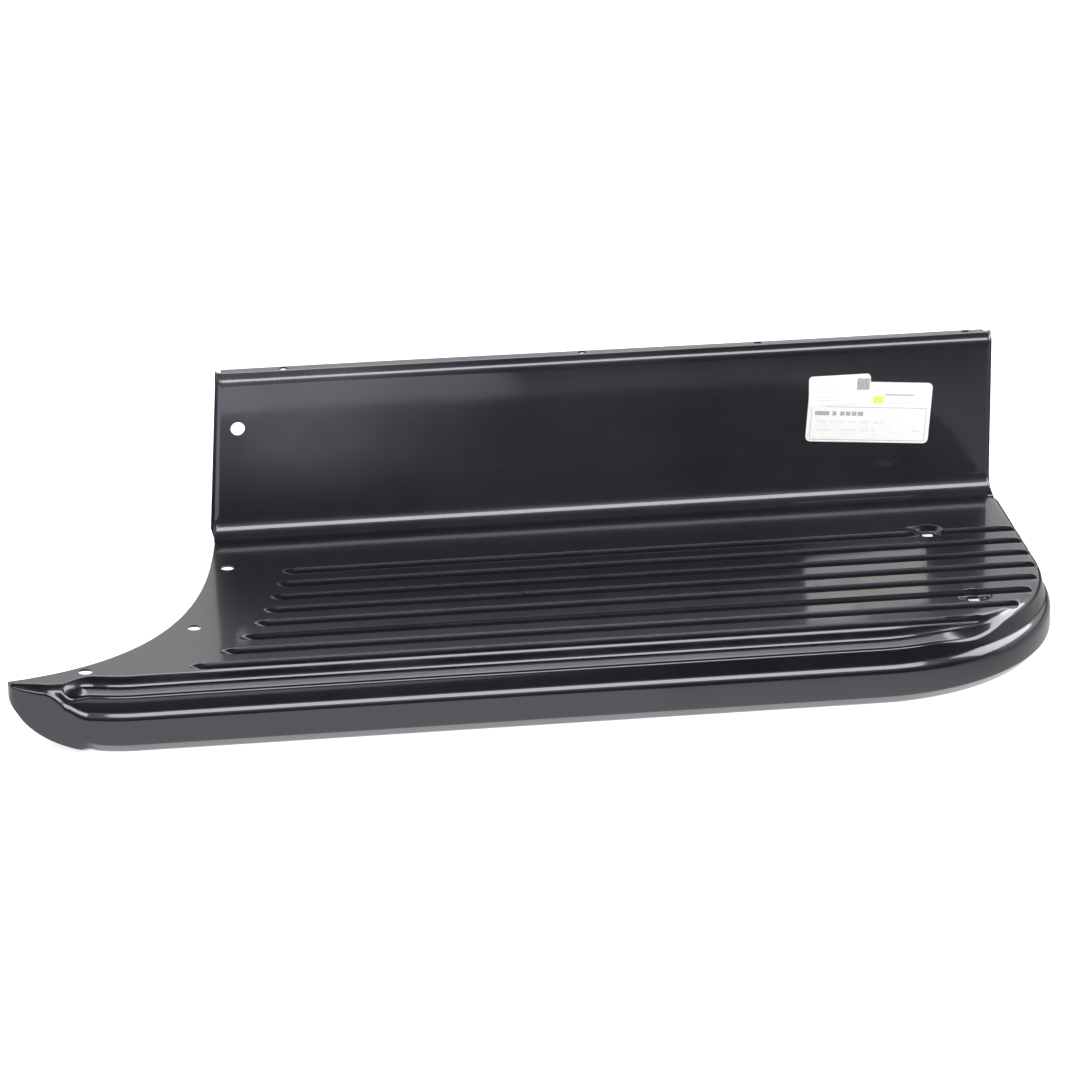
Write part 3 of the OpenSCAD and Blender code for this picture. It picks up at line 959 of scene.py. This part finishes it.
# The camera as fitted to the photograph: its place in millimetres from the panel's foot, its
# lens and sensor, and the ways its right side, its top and its view point.
CAMERA_AT, LENS, SENSOR = (-463.76, -4701.22, 1806.17), 217.49, 36.0
CAMERA_RIGHT = Vector((0.98816821, -0.15329396, -0.0049542))
CAMERA_UP = Vector((0.05950746, 0.35342749, 0.93356728))
CAMERA_VIEW = Vector((0.14135927, 0.92281632, -0.35836795))
WHITE = (1, 1, 1, 1)


class BEDSTEP_OT_stage(bpy.types.Operator):
    """Adds the white floor, the studio light round the step, the lamps and the camera"""
    bl_idname = "bedstep.stage"
    bl_label = "Studio"

    def execute(self, context):
        scene = context.scene
        studio = scene.bedstep_studio
        scene.view_settings.view_transform = "Standard"
        self.floor()
        self.world(scene, studio)
        for name, (at, target, width, height) in LAMPS.items():
            self.lamp(name, at, target, width, height, getattr(studio, name))
        self.camera(scene)
        return {"FINISHED"}

    def floor(self):
        mesh = bpy.data.meshes.new("floor")
        mesh.from_pydata([(-30, -30, 0), (30, -30, 0), (30, 30, 0), (-30, 30, 0)], [], [(0, 1, 2, 3)])
        ob = bpy.data.objects.new("floor", mesh)
        bpy.context.scene.collection.objects.link(ob)
        mat, tree = new_material("white_sweep")
        # Seamless studio paper: matt white. Part of its white is given straight to the camera
        # and to reflections, so that it reads white without more light on the object.
        rays = add(tree, "ShaderNodeLightPath")
        power = add(tree, "ShaderNodeMath", {"operation": "MULTIPLY", 1: 0.72}, i0=rays.outputs["Is Camera Ray"])
        paper = add(tree, "ShaderNodeBsdfDiffuse", {"Color": linear("#f2f2f2")})
        glow = add(tree, "ShaderNodeEmission", {"Color": WHITE}, Strength=power)
        both = add(tree, "ShaderNodeAddShader", i0=paper, i1=glow)
        # Reflections see the paper lit near the step and dark further off: it is flagged from
        # the lamps in front, more so at the right, and behind the step.
        place = add(tree, "ShaderNodeSeparateXYZ", Vector=add(tree, "ShaderNodeTexCoord").outputs["Object"])
        left = add(tree, "ShaderNodeMapRange", {"From Min": 0.09, "From Max": -0.15, "To Max": 1.5},
                   Value=place.outputs["X"])
        front = add(tree, "ShaderNodeMath", {"operation": "ADD"}, i0=place.outputs["Y"], i1=left)
        ahead = add(tree, "ShaderNodeMapRange", {"From Min": -0.38, "From Max": -0.18, **SOFT}, Value=front)
        behind = add(tree, "ShaderNodeMapRange", {"From Min": 0.2, "From Max": 0.05, **SOFT},
                     Value=place.outputs["Y"])
        side = add(tree, "ShaderNodeMapRange", {"From Min": 0.46, "From Max": 0.26, "To Min": 0.3, **SOFT},
                   Value=place.outputs["X"])
        lit = add(tree, "ShaderNodeMath", {"operation": "MULTIPLY"}, i0=ahead, i1=behind)
        lit = add(tree, "ShaderNodeMath", {"operation": "MULTIPLY"}, i0=lit, i1=side)
        tone = add(tree, "ShaderNodeMapRange", {"To Min": 0.02, "To Max": 1.35}, Value=lit)
        mirror = add(tree, "ShaderNodeEmission", {"Color": WHITE}, Strength=tone)
        seen = add(tree, "ShaderNodeMixShader", i0=rays.outputs["Is Glossy Ray"], i1=both, i2=mirror)
        add(tree, "ShaderNodeOutputMaterial", Surface=seen)
        mesh.materials.append(mat)

    def world(self, scene, studio):
        """White backdrop behind and at the sides, a dark room above and in front."""
        world = bpy.data.worlds.new("studio")
        world.use_nodes = True
        scene.world = world
        tree = world.node_tree
        tree.nodes.clear()
        way = add(tree, "ShaderNodeTexCoord").outputs["Generated"]
        part = add(tree, "ShaderNodeSeparateXYZ", Vector=way)
        # The backdrop reaches further round and higher up at the right.
        right = add(tree, "ShaderNodeMath", {"operation": "MAXIMUM", 1: 0.0}, i0=part.outputs["X"])
        lower = add(tree, "ShaderNodeMath", {"operation": "MULTIPLY_ADD", 1: -0.12},
                    i0=right, i2=part.outputs["Z"])
        round_to = add(tree, "ShaderNodeMath", {"operation": "MULTIPLY_ADD", 1: 0.12},
                       i0=right, i2=part.outputs["Y"])
        low = add(tree, "ShaderNodeMapRange", {"From Min": 0.69, "From Max": 0.62, **SOFT}, Value=lower)
        behind = add(tree, "ShaderNodeMapRange", {"From Min": -0.12, "From Max": 0.02, **SOFT},
                     Value=round_to)
        white = add(tree, "ShaderNodeMath", {"operation": "MULTIPLY"}, i0=low, i1=behind)
        base = add(tree, "ShaderNodeMapRange", {"To Min": 0.03, "To Max": 0.75}, Value=white)
        # Spill from the front lamp on the room under it, and a brighter band along the backdrop.
        spill = self.band(tree, part, (0.24, 0.60, 0.64, 0.80), (-0.3, -0.6), 0.6)
        sweep = self.band(tree, part, (0.50, 0.56, 0.60, 0.68), (0.0, 0.3), 3.0)
        extra = add(tree, "ShaderNodeMath", {"operation": "ADD"}, i0=spill, i1=sweep)
        glossy = add(tree, "ShaderNodeMath", {"operation": "ADD"}, i0=base, i1=extra)
        rays = add(tree, "ShaderNodeLightPath")
        fill = add(tree, "ShaderNodeBackground", {"Color": WHITE, "Strength": studio.fill})
        room = add(tree, "ShaderNodeBackground", {"Color": WHITE}, Strength=glossy)
        plain = add(tree, "ShaderNodeBackground", {"Color": WHITE, "Strength": 1.0})
        one = add(tree, "ShaderNodeMixShader", i0=rays.outputs["Is Glossy Ray"], i1=fill, i2=room)
        seen = add(tree, "ShaderNodeMath", {"operation": "MAXIMUM"},
                   i0=rays.outputs["Is Camera Ray"], i1=rays.outputs["Is Transmission Ray"])
        two = add(tree, "ShaderNodeMixShader", i0=seen, i1=one, i2=plain)
        add(tree, "ShaderNodeOutputWorld", Surface=two)

    def band(self, tree, part, heights, towards, strength):
        """A soft band of light round the room, on the side where the way's Y is past towards.
        It grows from the first to the second height and fades from the third to the fourth."""
        a, b, c, d = heights
        rise = add(tree, "ShaderNodeMapRange", {"From Min": a, "From Max": b, **SOFT}, Value=part.outputs["Z"])
        fade = add(tree, "ShaderNodeMapRange", {"From Min": d, "From Max": c, "To Max": strength, **SOFT},
                   Value=part.outputs["Z"])
        face = add(tree, "ShaderNodeMapRange", {"From Min": towards[0], "From Max": towards[1], **SOFT},
                   Value=part.outputs["Y"])
        both = add(tree, "ShaderNodeMath", {"operation": "MULTIPLY"}, i0=rise, i1=fade)
        return add(tree, "ShaderNodeMath", {"operation": "MULTIPLY"}, i0=both, i1=face)

    def lamp(self, name, at, target, width, height, power):
        light = bpy.data.lights.new(name, "AREA")
        light.shape = "RECTANGLE"
        light.size, light.size_y = width, height
        light.energy = power
        ob = bpy.data.objects.new(name, light)
        ob.location = at
        ob.rotation_euler = (Vector(target) - Vector(at)).to_track_quat("-Z", "Y").to_euler()
        bpy.context.scene.collection.objects.link(ob)

    def camera(self, scene):
        cam = bpy.data.cameras.new("camera")
        cam.sensor_width = SENSOR
        cam.lens = LENS
        cam.clip_end = 100
        ob = bpy.data.objects.new("camera", cam)
        turn = Matrix((CAMERA_RIGHT, CAMERA_UP, -CAMERA_VIEW)).transposed().to_4x4()
        ob.matrix_world = Matrix.Translation(to_frame(CAMERA_AT)) @ turn
        bpy.context.scene.collection.objects.link(ob)
        scene.camera = ob


class BEDSTEP_PT_panel(bpy.types.Panel):
    """Lists the step's operators and settings"""
    bl_label = "Bed step"
    bl_idname = "BEDSTEP_PT_panel"
    bl_space_type = "VIEW_3D"
    bl_region_type = "UI"
    bl_category = "Bed step"

    def draw(self, context):
        for group in (context.scene.bedstep_finish, context.scene.bedstep_studio):
            for key in group.__annotations__:
                self.layout.prop(group, key)
        for kind in (BEDSTEP_OT_sheet, BEDSTEP_OT_stickers, BEDSTEP_OT_stage):
            self.layout.operator(kind.bl_idname)


CLASSES = (StepFinish, StepStudio, BEDSTEP_OT_sheet, BEDSTEP_OT_stickers, BEDSTEP_OT_stage,
           BEDSTEP_PT_panel)


def register():
    for kind in CLASSES:
        bpy.utils.register_class(kind)
    bpy.types.Scene.bedstep_finish = bpy.props.PointerProperty(type=StepFinish)
    bpy.types.Scene.bedstep_studio = bpy.props.PointerProperty(type=StepStudio)


def unregister():
    del bpy.types.Scene.bedstep_studio
    del bpy.types.Scene.bedstep_finish
    for kind in reversed(CLASSES):
        bpy.utils.unregister_class(kind)


def main():
    register()
    bpy.ops.bedstep.sheet()
    bpy.ops.bedstep.stickers()
    bpy.ops.bedstep.stage()
    bpy.context.view_layer.update()


if __name__ == "__main__":
    main()
